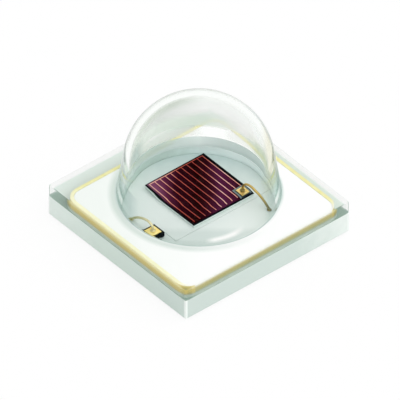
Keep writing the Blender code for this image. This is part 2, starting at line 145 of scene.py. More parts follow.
def srgb(red, green, blue):
    values = []
    for value in (red, green, blue):
        value /= 255
        values.append(value / 12.92 if value <= 0.04045 else ((value + 0.055) / 1.055) ** 2.4)
    return tuple(values)


def nodes_of(name):
    made = bpy.data.materials.new(name)
    made.use_nodes = True
    tree = made.node_tree
    return made, tree, tree.nodes["Principled BSDF"]


def link(tree, source, target):
    tree.links.new(source, target)


# A socket gets another one's value, a colour or a plain number
def feed(tree, value, target):
    if isinstance(value, bpy.types.NodeSocket):
        link(tree, value, target)
    elif isinstance(value, tuple):
        target.default_value = (*value, 1.0)
    else:
        target.default_value = value


def add_node(tree, kind, **values):
    node = tree.nodes.new(kind)
    for name, value in values.items():
        setattr(node, name, value)
    return node


# Object coordinates in millimetres
def millimetres(tree):
    place = add_node(tree, "ShaderNodeTexCoord")
    mapping = add_node(tree, "ShaderNodeMapping")
    mapping.inputs["Scale"].default_value = (1 / MM, 1 / MM, 1 / MM)
    link(tree, place.outputs["Object"], mapping.inputs["Vector"])
    return mapping.outputs["Vector"]


def noise(tree, vector, scale, detail=4.0, roughness=0.5):
    node = add_node(tree, "ShaderNodeTexNoise")
    node.inputs["Scale"].default_value = scale
    node.inputs["Detail"].default_value = detail
    node.inputs["Roughness"].default_value = roughness
    link(tree, vector, node.inputs["Vector"])
    return node.outputs["Fac"]


def ramp(tree, factor, stops):
    node = add_node(tree, "ShaderNodeValToRGB")
    elements = node.color_ramp.elements
    while len(elements) < len(stops):
        elements.new(0.5)
    for element, (position, colour) in zip(elements, stops):
        element.position = position
        element.color = (*colour, 1.0)
    link(tree, factor, node.inputs["Fac"])
    return node.outputs["Color"]


# A factor from 0 to 1 spread from low to high
def spread(tree, factor, low, high):
    node = add_node(tree, "ShaderNodeMapRange")
    node.inputs["To Min"].default_value = low
    node.inputs["To Max"].default_value = high
    link(tree, factor, node.inputs["Value"])
    return node.outputs["Result"]


# 0 to 1 as a value goes from low to high
def spread_between(tree, value, low, high):
    node = add_node(tree, "ShaderNodeMapRange")
    node.inputs["From Min"].default_value = low
    node.inputs["From Max"].default_value = high
    link(tree, value, node.inputs["Value"])
    return node.outputs["Result"]


def combined(tree, first, second, operation):
    node = add_node(tree, "ShaderNodeMath", operation=operation)
    feed(tree, first, node.inputs[0])
    feed(tree, second, node.inputs[1])
    return node.outputs[0]


def scaled(tree, value, factor):
    return combined(tree, value, factor, "MULTIPLY")


def above(tree, value, limit):
    return combined(tree, value, limit, "GREATER_THAN")


def below(tree, value, limit):
    return combined(tree, value, limit, "LESS_THAN")


def absolute(tree, value):
    return combined(tree, value, 0.0, "ABSOLUTE")


def product(tree, first, *others):
    for other in others:
        first = combined(tree, first, other, "MULTIPLY")
    return first


def maximum(tree, first, *others):
    for other in others:
        first = combined(tree, first, other, "MAXIMUM")
    return first


# 1 inside a zone, where each value has gone from its first limit to its second
def zone(tree, *limits):
    return product(tree, *(spread_between(tree, value, low, high) for value, low, high in limits))


def axis(tree, vector, name):
    node = add_node(tree, "ShaderNodeSeparateXYZ")
    link(tree, vector, node.inputs["Vector"])
    return node.outputs[name]


# Distance in millimetres along a level direction, given in degrees from +X
def along(tree, vector, degrees):
    turn = math.radians(degrees)
    along_x = scaled(tree, axis(tree, vector, "X"), math.cos(turn))
    along_y = scaled(tree, axis(tree, vector, "Y"), math.sin(turn))
    return combined(tree, along_x, along_y, "ADD")


# Distance in millimetres from the dome's axis
def from_axis(tree, vector):
    flatten = add_node(tree, "ShaderNodeVectorMath", operation="MULTIPLY")
    flatten.inputs[1].default_value = (1, 1, 0)
    length = add_node(tree, "ShaderNodeVectorMath", operation="LENGTH")
    link(tree, vector, flatten.inputs[0])
    link(tree, flatten.outputs["Vector"], length.inputs[0])
    return length.outputs["Value"]


# Distance in millimetres from the middle along X and along Y, whichever is less or more
def reach(tree, vector, operation, middle=(0.0, 0.0)):
    from_x = absolute(tree, combined(tree, axis(tree, vector, "X"), middle[0], "SUBTRACT"))
    from_y = absolute(tree, combined(tree, axis(tree, vector, "Y"), middle[1], "SUBTRACT"))
    return combined(tree, from_x, from_y, operation)


# 1 near the package's upright corner edges
def corner_edge(tree, vector):
    return spread_between(tree, reach(tree, vector, "MINIMUM"), *CORNER_EDGE)


# 1 on faces that look up, 0 on upright ones
def upward(tree):
    place = add_node(tree, "ShaderNodeTexCoord")
    return spread_between(tree, axis(tree, place.outputs["Normal"], "Z"), 0.3, 0.8)


# A value that drifts by an amount both ways, in clouds
def drifting(tree, vector, value, grain, amount, detail=4.0):
    cloud = spread(tree, noise(tree, vector, grain, detail), -amount, amount)
    return combined(tree, value, cloud, "ADD")


def blend(tree, factor, first, second):
    node = add_node(tree, "ShaderNodeMix", data_type="RGBA")
    feed(tree, factor, node.inputs["Factor"])
    feed(tree, first, node.inputs["A"])
    feed(tree, second, node.inputs["B"])
    return node.outputs["Result"]


# A colour multiplied by a tint, as far as the factor says
def tinted(tree, factor, colour, tint):
    node = add_node(tree, "ShaderNodeMix", data_type="RGBA", blend_type="MULTIPLY")
    feed(tree, factor, node.inputs["Factor"])
    feed(tree, colour, node.inputs["A"])
    feed(tree, tint, node.inputs["B"])
    return node.outputs["Result"]


def bump(tree, height, distance):
    node = add_node(tree, "ShaderNodeBump")
    node.inputs["Strength"].default_value = 1.0
    node.inputs["Distance"].default_value = distance * MM
    link(tree, height, node.inputs["Height"])
    return node.outputs["Normal"]


# Fine grain: a drift in the roughness and a shallow relief
def grained(tree, shader, vector, grain, roughness, relief):
    fine = noise(tree, vector, grain, detail=6.0, roughness=0.65)
    link(tree, spread(tree, fine, roughness - 0.08, roughness + 0.08), shader.inputs["Roughness"])
    link(tree, bump(tree, fine, relief), shader.inputs["Normal"])


# Two shades that take turns in clouds
def clouded(tree, factor, dark, light):
    return ramp(tree, factor, [(0.3, dark), (0.7, light)])


# A surface whose colour drifts between two shades, with a fine relief
def mottled(name, dark, light, roughness, grain, relief, metallic=0.0, specular=None):
    made, tree, shader = nodes_of(name)
    vector = millimetres(tree)
    link(tree, clouded(tree, noise(tree, vector, grain), dark, light), shader.inputs["Base Color"])
    grained(tree, shader, vector, grain * 9, roughness, relief)
    shader.inputs["Metallic"].default_value = metallic
    if specular is not None:
        shader.inputs["Specular IOR Level"].default_value = specular
    return made


# Ceramic with painted light: its sides are painted darker towards the front corner and paler away from it as
# painted shade, the right side has its own darker copy of the bands, and their upright edges carry a painted
# highlight
def ceramic_material():
    made, tree, shader = nodes_of("ceramic")
    vector = millimetres(tree)
    place = combined(tree, axis(tree, vector, "Y"), axis(tree, vector, "X"), "SUBTRACT")
    # Painted shade: darker towards the front corner, paler away from it
    level = spread_between(tree, drifting(tree, vector, place, 5.0, 0.4), -2.7, 0.0)
    plain_bands = [(0.0, srgb(206, 221, 214)), (0.6, srgb(214, 229, 220)), (1.0, srgb(230, 241, 235))]
    # Painted shade: a slightly darker copy of the bands for the right side
    right_bands = [(0.0, srgb(201, 214, 208)), (0.66, srgb(205, 218, 212)), (1.0, srgb(230, 238, 233))]
    on_right = above(tree, axis(tree, vector, "X"), BODY_HALF - 0.015)
    colour = blend(tree, on_right, ramp(tree, level, plain_bands), ramp(tree, level, right_bands))
    # Painted highlight on the upright corner edges
    colour = blend(tree, corner_edge(tree, vector), colour, srgb(238, 245, 241))
    link(tree, colour, shader.inputs["Base Color"])
    grained(tree, shader, vector, 45.0, 0.5, 0.0015)
    return made


# The upper layer is cut at its sides, which are painted darker than its top as painted shade
def layer_material():
    made, tree, shader = nodes_of("upper_ceramic")
    vector = millimetres(tree)
    coarse = noise(tree, vector, 5.0)
    top = clouded(tree, coarse, srgb(216, 229, 224), srgb(228, 238, 234))
    # Painted shade: the sides are darker than the top
    side = clouded(tree, coarse, srgb(168, 184, 170), srgb(182, 196, 184))
    link(tree, blend(tree, upward(tree), side, top), shader.inputs["Base Color"])
    grained(tree, shader, vector, 45.0, 0.5, 0.0015)
    return made


# White layer, with painted shade that makes it a little greyer on the left
def white_material():
    made, tree, shader = nodes_of("white_layer")
    vector = millimetres(tree)
    # Painted shade: greyer towards the left
    place = drifting(tree, vector, along(tree, vector, RIGHTWARD), 3.0, 0.3)
    level = spread_between(tree, place, -1.4, 0.1)
    colour = ramp(tree, level, [(0.0, srgb(243, 248, 244)), (1.0, srgb(254, 255, 254))])
    link(tree, colour, shader.inputs["Base Color"])
    grained(tree, shader, vector, 36.0, 0.6, 0.001)
    return made


# Plated frame with painted light: its top is painted pale, with painted highlights towards the front and near
# white where its narrow right side starts, and its sides are painted tan as painted shade, darker towards the
# bottom, with their own copy of the bands on the right side
def frame_material():
    made, tree, shader = nodes_of("frame_gold")
    vector = millimetres(tree)
    x_place = axis(tree, vector, "X")
    top = clouded(tree, noise(tree, vector, 14.0), srgb(246, 240, 172), srgb(254, 252, 202))
    # Painted highlight: the top grows paler towards the front and near white where the narrow right side
    # starts
    front = spread_between(tree, axis(tree, vector, "Y"), -1.2, -1.4)
    top = blend(tree, front, top, srgb(255, 254, 218))
    top = blend(tree, spread_between(tree, x_place, 1.3, 1.46), top, srgb(255, 255, 250))
    # Painted shade: the sides darken towards the bottom, with their own copy of the bands on the right side
    level = spread_between(tree, axis(tree, vector, "Z"), FRAME_BOTTOM, FRAME_TOP)
    plain_bands = [
        (0.0, srgb(186, 186, 152)), (0.25, srgb(206, 190, 118)),
        (0.6, srgb(220, 202, 122)), (1.0, srgb(246, 236, 186)),
    ]
    right_bands = [
        (0.0, srgb(172, 188, 172)), (0.2, srgb(182, 184, 140)), (0.4, srgb(190, 184, 120)),
        (0.7, srgb(206, 194, 136)), (0.85, srgb(228, 220, 188)), (1.0, srgb(250, 248, 236)),
    ]
    on_right = above(tree, x_place, BODY_HALF - 0.02)
    side = blend(tree, on_right, ramp(tree, level, plain_bands), ramp(tree, level, right_bands))
    # Painted light: the top painted pale, the sides tan
    link(tree, blend(tree, upward(tree), side, top), shader.inputs["Base Color"])
    grained(tree, shader, vector, 90.0, 0.4, 0.0012)
    shader.inputs["Metallic"].default_value = 0.85
    return made


# Wire with painted shade: its low end is painted darker than its loop
def wire_material(name, low, high):
    made, tree, shader = nodes_of(name)
    vector = millimetres(tree)
    # Painted shade: darker towards the low end
    level = spread_between(tree, drifting(tree, vector, axis(tree, vector, "Z"), 9.0, 0.04), 0.46, 0.72)
    link(tree, ramp(tree, level, [(0.0, low), (1.0, high)]), shader.inputs["Base Color"])
    grained(tree, shader, vector, 81.0, 0.3, 0.0008)
    shader.inputs["Metallic"].default_value = 0.7
    return made


# Satin floor of the cavity with painted light: painted shade darkens the back and the front, a painted pool
# of light lies at the front right, and a painted highlight draws the bright curve that the dome throws there
def land_material():
    made, tree, shader = nodes_of("land_metal")
    vector = millimetres(tree)
    right = along(tree, vector, RIGHTWARD)
    back = along(tree, vector, BACKWARD)
    radius = from_axis(tree, vector)
    # Painted shade: darker towards the back
    level = spread_between(tree, drifting(tree, vector, back, 3.0, 0.25), 1.0, 0.25)
    bands = [(0.0, srgb(190, 208, 205)), (0.6, srgb(210, 223, 218)), (1.0, srgb(220, 230, 226))]
    colour = ramp(tree, level, bands)
    # Painted pool of light at the front right
    glow = scaled(tree, zone(tree, (right, 0.0, 0.6), (back, 0.1, -0.5)), 0.55)
    colour = blend(tree, glow, colour, srgb(242, 248, 243))
    # Painted shade along the front
    shade = zone(tree, (back, -0.5, -0.62), (right, 1.2, 0.1))
    colour = blend(tree, shade, colour, srgb(207, 219, 214))
    # Painted highlight: the bright curve that the dome throws
    curve = zone(
        tree, (radius, 0.74, 0.8), (radius, 0.88, 0.82),
        (right, 0.08, 0.22), (right, 0.64, 0.5), (back, -0.4, -0.55),
    )
    link(tree, blend(tree, curve, colour, srgb(255, 255, 253)), shader.inputs["Base Color"])
    grained(tree, shader, vector, 27.0, 0.45, 0.001)
    shader.inputs["Metallic"].default_value = 0.1
    return made


# The low wall, with painted light: palest on the side that the light reaches least
def ring_material():
    made, tree, shader = nodes_of("cavity_ring")
    vector = millimetres(tree)
    top = clouded(tree, noise(tree, vector, 5.0), srgb(188, 206, 201), srgb(202, 217, 212))
    # Painted light: palest where the light reaches least
    place = drifting(tree, vector, along(tree, vector, KEY_AZIMUTH), 5.0, 0.15)
    level = spread_between(tree, place, -0.95, -0.1)
    bands = [(0.0, srgb(184, 204, 196)), (0.5, srgb(228, 244, 241)), (1.0, srgb(240, 252, 250))]
    side = ramp(tree, level, bands)
    link(tree, blend(tree, upward(tree), side, top), shader.inputs["Base Color"])
    grained(tree, shader, vector, 45.0, 0.5, 0.001)
    return made


# Dark at the top of the chip's carrier, with bright metal down its sides
def carrier_material():
    made, tree, shader = nodes_of("chip_carrier")
    vector = millimetres(tree)
    low, high = node_box("chip_carrier")
    height = drifting(tree, vector, axis(tree, vector, "Z"), 10.0, 0.002)
    level = spread_between(tree, height, low.z, high.z)
    bands = [
        (0.0, srgb(226, 236, 232)), (0.6, srgb(218, 229, 225)),
        (0.8, srgb(110, 126, 130)), (0.92, srgb(14, 20, 24)),
    ]
    link(tree, ramp(tree, level, bands), shader.inputs["Base Color"])
    grained(tree, shader, vector, 90.0, 0.5, 0.0006)
    shader.inputs["Specular IOR Level"].default_value = DARK_SPECULAR
    return made


# How far right a place on the chip's face lies, with a drift, from 0 at its left corner to 1 at its right one
def chip_place(tree, vector, grain, amount):
    place = drifting(tree, vector, along(tree, vector, RIGHTWARD), grain, amount, detail=3.0)
    return place, spread_between(tree, place, -0.85, 0.75)


# Near black red with a violet sheen, a painted reflection, towards its left and right corners, black margins
# at the back, and a grey surround with a paler line around the bond pad
def emitter_material():
    made, tree, shader = nodes_of("emitter")
    vector = millimetres(tree)
    place, level = chip_place(tree, vector, 2.6, 0.14)
    # Painted reflection: the violet sheen towards the left and right corners
    bands = [
        (0.0, srgb(136, 94, 118)), (0.14, srgb(120, 68, 98)), (0.24, srgb(84, 30, 58)),
        (0.33, srgb(42, 2, 16)), (0.52, srgb(26, 0, 0)), (0.62, srgb(46, 4, 18)),
        (0.72, srgb(78, 26, 58)), (0.82, srgb(70, 18, 48)), (0.92, srgb(46, 2, 20)),
    ]
    low, high = node_box("chip_bond_pad")
    from_pad = reach(tree, vector, "MAXIMUM", middle=(low + high) / 2)
    half = (high.x - low.x) / 2
    wide, narrow = (half + width for width in SURROUND)
    beside_pad = spread_between(tree, from_pad, wide, narrow)
    colour = blend(tree, beside_pad, ramp(tree, level, bands), srgb(50, 62, 68))
    low, high = node_box("emitter_layer")
    margin_x = spread_between(tree, axis(tree, vector, "X"), low.x + MARGIN[0], low.x + MARGIN[1])
    margin_y = spread_between(tree, axis(tree, vector, "Y"), high.y - MARGIN[0], high.y - MARGIN[1])
    away_from_pad = zone(tree, (place, -0.6, -0.3), (from_pad, narrow, wide))
    margin = product(tree, maximum(tree, margin_x, margin_y), away_from_pad)
    colour = blend(tree, margin, colour, srgb(8, 4, 8))
    start, end = ([half + width for width in limits] for limits in (LINE_START, LINE_END))
    colour = blend(tree, zone(tree, (from_pad, *start), (from_pad, *end)), colour, srgb(118, 134, 134))
    link(tree, colour, shader.inputs["Base Color"])
    link(tree, spread(tree, noise(tree, vector, 60.0), 0.42, 0.55), shader.inputs["Roughness"])
    shader.inputs["Specular IOR Level"].default_value = EMITTER_SPECULAR
    return made


# Contact fingers: dark copper in the middle, painted pale towards the chip's left and right corners as
# painted reflection
def contact_material():
    made, tree, shader = nodes_of("contact_metal")
    vector = millimetres(tree)
    _, level = chip_place(tree, vector, 3.4, 0.2)
    # Painted reflection: paler towards the left and right corners
    bands = [
        (0.0, srgb(248, 200, 182)), (0.2, srgb(242, 180, 158)), (0.34, srgb(190, 84, 62)),
        (0.52, srgb(162, 44, 32)), (0.62, srgb(204, 112, 90)), (0.74, srgb(252, 202, 190)),
        (0.84, srgb(248, 178, 160)), (1.0, srgb(230, 130, 98)),
    ]
    link(tree, ramp(tree, level, bands), shader.inputs["Base Color"])
    shader.inputs["Metallic"].default_value = 0.2
    shader.inputs["Roughness"].default_value = 0.5
    return made


def mixed(tree, factor, first, second):
    node = add_node(tree, "ShaderNodeMixShader")
    feed(tree, factor, node.inputs["Fac"])
    link(tree, first, node.inputs[1])
    link(tree, second, node.inputs[2])
    return node.outputs["Shader"]


# A plain shader of one kind, in one colour
def coloured(tree, kind, colour):
    node = add_node(tree, kind)
    feed(tree, colour, node.inputs["Color"])
    return node.outputs["BSDF"]


# A matt surface that throws half of its light back and half through
def scattering(tree, colour):
    front = coloured(tree, "ShaderNodeBsdfDiffuse", colour)
    behind = coloured(tree, "ShaderNodeBsdfTranslucent", colour)
    return mixed(tree, 0.5, front, behind)


def glass(tree, colour, roughness):
    shader = add_node(tree, "ShaderNodeBsdfPrincipled")
    feed(tree, colour, shader.inputs["Base Color"])
    shader.inputs["Transmission Weight"].default_value = 1.0
    shader.inputs["IOR"].default_value = LENS_IOR
    shader.inputs["Roughness"].default_value = roughness
    return shader.outputs["BSDF"]


def fresnel(tree, strength):
    node = add_node(tree, "ShaderNodeFresnel")
    feed(tree, strength, node.inputs["IOR"])
    return node.outputs["Fac"]


# Clear surface with its own strength of bending, which may change from place to place
def clear_surface(tree, colour, bending):
    through = add_node(tree, "ShaderNodeBsdfRefraction")
    mirror = add_node(tree, "ShaderNodeBsdfGlossy")
    for surface in (through, mirror):
        surface.inputs["Roughness"].default_value = 0.0
        link(tree, colour, surface.inputs["Color"])
    link(tree, bending, through.inputs["IOR"])
    share = spread_between(tree, fresnel(tree, bending), 0.03, 1.0)
    return mixed(tree, share, through.outputs["BSDF"], mirror.outputs["BSDF"])


# A place on the lens: its height, how far right and back it lies, its distances from the axis and from the
# dome's centre, and how steeply it is seen
def lens_place(tree, vector):
    facing = add_node(tree, "ShaderNodeLayerWeight")
    facing.inputs["Blend"].default_value = 0.5
    shift = add_node(tree, "ShaderNodeVectorMath", operation="DISTANCE")
    shift.inputs[1].default_value = (0, 0, DOME_CENTRE)
    link(tree, vector, shift.inputs[0])
    return SimpleNamespace(
        level=axis(tree, vector, "Z"),
        right=along(tree, vector, RIGHTWARD),
        back=along(tree, vector, BACKWARD),
        radius=from_axis(tree, vector),
        from_centre=shift.outputs["Value"],
        steep=facing.outputs["Facing"],
    )


# Painted shade on the polished silicone: clear, and painted a little grey towards its outline, its foot and
# its inner edge, with a painted warm reflection inside its right outline
def painted_lens_shading(tree, place):
    level, right, back, radius, steep = place.level, place.right, place.back, place.radius, place.steep
    outer = above(tree, radius, OUTER_FACE)
    on_dome = above(tree, place.from_centre, WALL_MIDDLE)
    in_hollow = below(tree, place.from_centre, WALL_MIDDLE)
    inner = spread_between(tree, radius, 1.1, 1.095)
    leftward = spread(tree, spread_between(tree, right, 0.6, -0.2), 0.1, 1.0)
    foot = (radius, *FOOT_END)
    zones = [
        # Painted shade over the whole foot of the dome, mostly on the left
        (leftward, [foot, (level, 1.1, 0.7), (back, -0.75, -0.3), (back, 0.85, 0.45)], (0.915, 0.95, 0.93)),
        # Painted shade on its right and left flanks
        (outer, [foot, (level, 1.15, 0.95), (right, 0.92, 1.0)], (0.87, 0.91, 0.9)),
        (outer, [foot, (level, 1.15, 1.0), (right, -0.84, -0.96)], (0.85, 0.87, 0.89)),
        # The shade around the foot
        (
            outer,
            [
                (level, 0.68, 0.64), (radius, 1.3, 1.22), (radius, 1.13, 1.2),
                (right, 1.0, -0.2), (back, 0.9, 0.4),
            ],
            (0.75, 0.81, 0.78),
        ),
        # Painted shade on the hollow's back wall, just over the ring
        (inner, [(level, *FOOT_BAND), (level, 0.55, 0.61), (back, -0.1, 0.4)], (0.8, 0.86, 0.84)),
        # The painted warm reflection inside the right outline, and painted shade on that outline and on the
        # foot's right outline
        (
            on_dome,
            [(steep, 0.42, 0.6), (right, 0.8, 0.92), (level, 0.9, 1.05), (level, 1.75, 1.55)],
            (0.91, 0.89, 0.78),
        ),
        (on_dome, [(steep, 0.76, 0.9), (right, 0.6, 0.8)], (0.6, 0.7, 0.72)),
        (outer, [foot, (level, 1.2, 1.05), (right, 1.06, 1.09), (back, -0.35, -0.1)], (0.76, 0.84, 0.82)),
        # Painted shade along the hollow's outline on the left
        (in_hollow, [(steep, 0.5, 0.68), (right, 0.1, -0.4)], (0.79, 0.83, 0.77)),
    ]
    # Painted shade: greyer towards the outline
    stops = [
        (0.25, srgb(255, 255, 255)), (0.45, srgb(254, 255, 254)), (0.7, srgb(254, 255, 254)),
        (0.86, srgb(252, 254, 253)), (0.97, srgb(222, 234, 229)),
    ]
    colour = ramp(tree, steep, stops)
    for face, limits, tint in zones:
        colour = tinted(tree, product(tree, face, zone(tree, *limits)), colour, tint)
    return colour


# Colour of the painted veil, painted reflection and painted shade: white, with grey at the upper left, green
# at the flanks, and grey shade at the foot
def painted_veil_colour(tree, place):
    level, right = place.level, place.right
    upper_stops = [(0.0, srgb(194, 205, 195)), (1.0, srgb(252, 254, 252))]
    upper = ramp(tree, spread_between(tree, right, -0.6, 0.1), upper_stops)
    streak = zone(tree, (place.steep, 0.5, 0.62), (right, 0.0, -0.35))
    upper = blend(tree, streak, upper, srgb(186, 198, 184))
    lower_stops = [(0.0, srgb(232, 246, 233)), (1.0, srgb(254, 255, 252))]
    lower = ramp(tree, spread_between(tree, right, 0.1, 0.6), lower_stops)
    colour = blend(tree, spread_between(tree, level, 1.14, 1.3), lower, upper)
    colour = blend(tree, spread_between(tree, level, 0.97, 0.91), colour, srgb(250, 253, 246))
    for flank, green in ((RIGHT_FLANK, srgb(212, 224, 196)), (LEFT_FLANK, srgb(206, 222, 218))):
        colour = blend(tree, zone(tree, (right, *flank), (level, 1.2, 1.0)), colour, green)
    foot_stops = [
        (0.0, srgb(204, 222, 218)), (0.27, srgb(213, 230, 226)), (0.48, srgb(230, 244, 240)),
        (0.72, srgb(200, 216, 213)), (1.0, srgb(186, 204, 200)),
    ]
    foot = ramp(tree, spread_between(tree, right, -0.6, 0.65), foot_stops)
    foot = tinted(tree, spread_between(tree, level, 0.7, 0.56), foot, (0.88, 0.89, 0.89))
    return blend(tree, spread_between(tree, level, 0.745, 0.73), colour, foot)


# Strength of the painted veil, painted reflection and shade on the hollow's wall, which shows from the
# hollow's side, and at the flanks through the clear material as well
def painted_veil_strength(tree, place):
    level, right, back = place.level, place.right, place.back
    in_skirt = product(tree, below(tree, place.radius, SKIRT_INSIDE), below(tree, level, DOME_CENTRE))
    inner = maximum(tree, below(tree, place.from_centre, WALL_MIDDLE), in_skirt)
    hollow_side = product(tree, inner, spread_between(tree, fresnel(tree, SIDE_TEST_IOR), 0.99, 0.95))
    flanks = product(tree, inner, zone(tree, (absolute(tree, right), 0.8, 0.9), (place.steep, 0.4, 0.6)))
    low_back = product(tree, maximum(tree, hollow_side, flanks), spread_between(tree, back, 0.0, 0.3))
    over_foot = product(tree, low_back, zone(tree, (level, 0.72, 0.78), (level, 1.2, 1.0)))
    thin = spread(tree, spread_between(tree, level, 1.3, 1.15), 0.62, 1.0)
    high = product(tree, hollow_side, thin, zone(tree, (back, 0.3, 0.8), (level, 0.93, 0.99)))
    foot = product(tree, low_back, zone(tree, (level, *FOOT_BAND), (level, 0.515, 0.522)))
    arms = maximum(tree, spread_between(tree, right, 0.08, -0.1), spread_between(tree, right, 0.35, 0.5))
    sides = maximum(tree, spread_between(tree, right, *RIGHT_FLANK), spread_between(tree, right, *LEFT_FLANK))
    return maximum(
        tree,
        scaled(tree, high, PAINTED_VEIL),
        scaled(tree, foot, 0.75),
        scaled(tree, product(tree, arms, over_foot), 0.4),
        scaled(tree, product(tree, sides, over_foot), 0.65),
    )


# Sawn sides of the flange, which scatter the light inside, with a painted highlight in matt white on their
# corner edges
def sawn_side(tree, vector):
    frost_and_highlight = scattering(tree, srgb(253, 254, 253))
    scatter = mixed(tree, 0.8, frost_and_highlight, add_node(tree, "ShaderNodeBsdfTransparent").outputs["BSDF"])
    side = mixed(tree, fresnel(tree, LENS_IOR), glass(tree, srgb(240, 246, 243), 0.25), scatter)
    # Painted highlight on the upright corner edges
    return mixed(tree, scaled(tree, corner_edge(tree, vector), 0.8), side, frost_and_highlight)


# Bond line under the flange, painted as dull grey shade where it can't be seen through
def painted_bond_shade(tree):
    dull = coloured(tree, "ShaderNodeBsdfDiffuse", srgb(150, 173, 162))
    return mixed(tree, fresnel(tree, LENS_IOR), glass(tree, srgb(250, 252, 251), 0.0), dull)


# Clear silicone: polished dome and top with painted reflection and shade, sawn sides, and a bond line below
# painted as dull shade. Shadow and diffuse rays pass.
def lens_material():
    made, tree, shader = nodes_of("clear_lens")
    vector = millimetres(tree)
    place = lens_place(tree, vector)
    level = place.level
    within = below(tree, place.radius, RING_INNER - 0.002)
    domed = maximum(tree, within, spread_between(tree, level, FLANGE_TOP + 0.001, FLANGE_TOP + DOME_FILLET))
    polished = clear_surface(tree, painted_lens_shading(tree, place), spread(tree, domed, LENS_IOR, DOME_IOR))
    # Painted reflection and painted shade laid over the dome as a matt veil
    polished = mixed(tree, painted_veil_strength(tree, place), polished, scattering(tree, painted_veil_colour(tree, place)))
    # Painted reflection at the dome's outline: a matt band, grey near the foot and white higher up
    outline = scaled(tree, product(tree, domed, spread_between(tree, place.steep, 0.72, 0.92)), 0.7)
    height = spread_between(tree, level, 0.9, 1.15)
    painted_outline = scattering(tree, ramp(tree, height, [(0.0, srgb(206, 221, 214)), (1.0, srgb(252, 254, 252))]))
    polished = mixed(tree, outline, polished, painted_outline)
    is_side = above(tree, reach(tree, vector, "MAXIMUM"), BODY_HALF - 0.004)
    is_bottom = below(tree, level, LENS_BOTTOM + 0.001)
    body = mixed(tree, is_side, polished, sawn_side(tree, vector))
    body = mixed(tree, is_bottom, body, painted_bond_shade(tree))
    path = add_node(tree, "ShaderNodeLightPath")
    passing = maximum(tree, path.outputs["Is Shadow Ray"], path.outputs["Is Diffuse Ray"])
    clear = coloured(tree, "ShaderNodeBsdfTransparent", (0.995, 0.997, 0.996))
    link(tree, mixed(tree, passing, body, clear), tree.nodes["Material Output"].inputs["Surface"])
    tree.nodes.remove(shader)
    return made


# Point where a ray at an angle from the axis meets a rectangle with rounded corners
def rounded_edge(angle, edges, corner):
    left, right, front, back = edges
    direction = Vector((math.cos(angle), math.sin(angle)))
    reach_x = (right if direction.x > 0 else left) / direction.x if abs(direction.x) > 1e-9 else math.inf
    reach_y = (back if direction.y > 0 else front) / direction.y if abs(direction.y) > 1e-9 else math.inf
    straight = min(reach_x, reach_y)
    centre = Vector((
        right - corner if direction.x > 0 else left + corner,
        back - corner if direction.y > 0 else front + corner,
    ))
    nearest = direction.dot(centre)
    root = nearest * nearest - centre.length_squared + corner * corner
    if root > 0:
        arc = nearest + math.sqrt(root)
        offset = direction * arc - centre
        if offset.x * direction.x >= 0 and offset.y * direction.y >= 0:
            return direction * arc
    return direction * straight


def circle(radius):
    return lambda angle: Vector((math.cos(angle), math.sin(angle))) * radius


def rectangle(half, corner):
    return lambda angle: rounded_edge(angle, (-half, half, -half, half), corner)


# Radius of the drafted wall below the dome's round top
def skirt_radius(height, radius):
    tangent = DOME_CENTRE + radius * math.sin(DOME_DRAFT)
    return radius * math.cos(DOME_DRAFT) + (tangent - height) * math.tan(DOME_DRAFT)


# Rings of the dome's round top, with its radius given, below its apex
def dome_rings(radius, count=36):
    rings = []
    for step in range(1, count + 1):
        angle = math.pi / 2 + (DOME_DRAFT - math.pi / 2) * step / count
        rings.append((circle(radius * math.cos(angle)), DOME_CENTRE + radius * math.sin(angle), False))
    return rings


# Rings of the fillet between the dome's foot and the flange
def fillet_rings(count=10):
    level = FLANGE_TOP + DOME_FILLET
    centre = skirt_radius(level, DOME_RADIUS) + DOME_FILLET / math.cos(DOME_DRAFT)
    start = math.pi + DOME_DRAFT
    rings = []
    for step in range(count + 1):
        angle = start + (1.5 * math.pi - start) * step / count
        height = level + DOME_FILLET * math.sin(angle)
        rings.append((circle(centre + DOME_FILLET * math.cos(angle)), height, step == count))
    return rings


# Rings of the whole lens, outside first: outline, height and whether the edge there is sharp
def lens_rings():
    side = BODY_HALF - FLANGE_INSET
    ceiling = RING_TOP - BOND_DEPTH
    bond_radius = (RING_INNER + RING_OUTER) / 2
    inner = DOME_RADIUS - DOME_WALL
    return [
        *dome_rings(DOME_RADIUS),
        *fillet_rings(),
        (rectangle(side - FLANGE_CHAMFER, FLANGE_CORNER - FLANGE_CHAMFER), FLANGE_TOP, True),
        (rectangle(side, FLANGE_CORNER), FLANGE_TOP - FLANGE_CHAMFER, True),
        (rectangle(side, FLANGE_CORNER), LENS_BOTTOM, True),
        (circle(bond_radius), LENS_BOTTOM, True),
        (circle(bond_radius), ceiling, True),
        (circle(skirt_radius(ceiling, inner)), ceiling, True),
        *reversed(dome_rings(inner)),
    ]


# Upright edges of the flange's corners stay crisp
def mark_upright_edges(mesh):
    flags = mesh.attributes.get("sharp_edge") or mesh.attributes.new("sharp_edge", "BOOLEAN", "EDGE")
    for edge in mesh.edges:
        first, second = (mesh.vertices[index].co for index in edge.vertices)
        if abs(first.x - second.x) > 1e-8 or abs(first.y - second.y) > 1e-8:
            continue
        quarter = math.atan2(first.y, first.x) % (math.pi / 2)
        if abs(quarter - math.pi / 4) < 0.03:
            flags.data[edge.index].value = True


# A smooth object made from a bmesh, with one finish
def smooth_piece(bm, name, finish):
    for face in bm.faces:
        face.smooth = True
    mesh = bpy.data.meshes.new(name)
    bm.to_mesh(mesh)
    bm.free()
    mesh.materials.append(finish)
    piece = bpy.data.objects.new(name, mesh)
    bpy.context.scene.collection.objects.link(piece)
    return piece


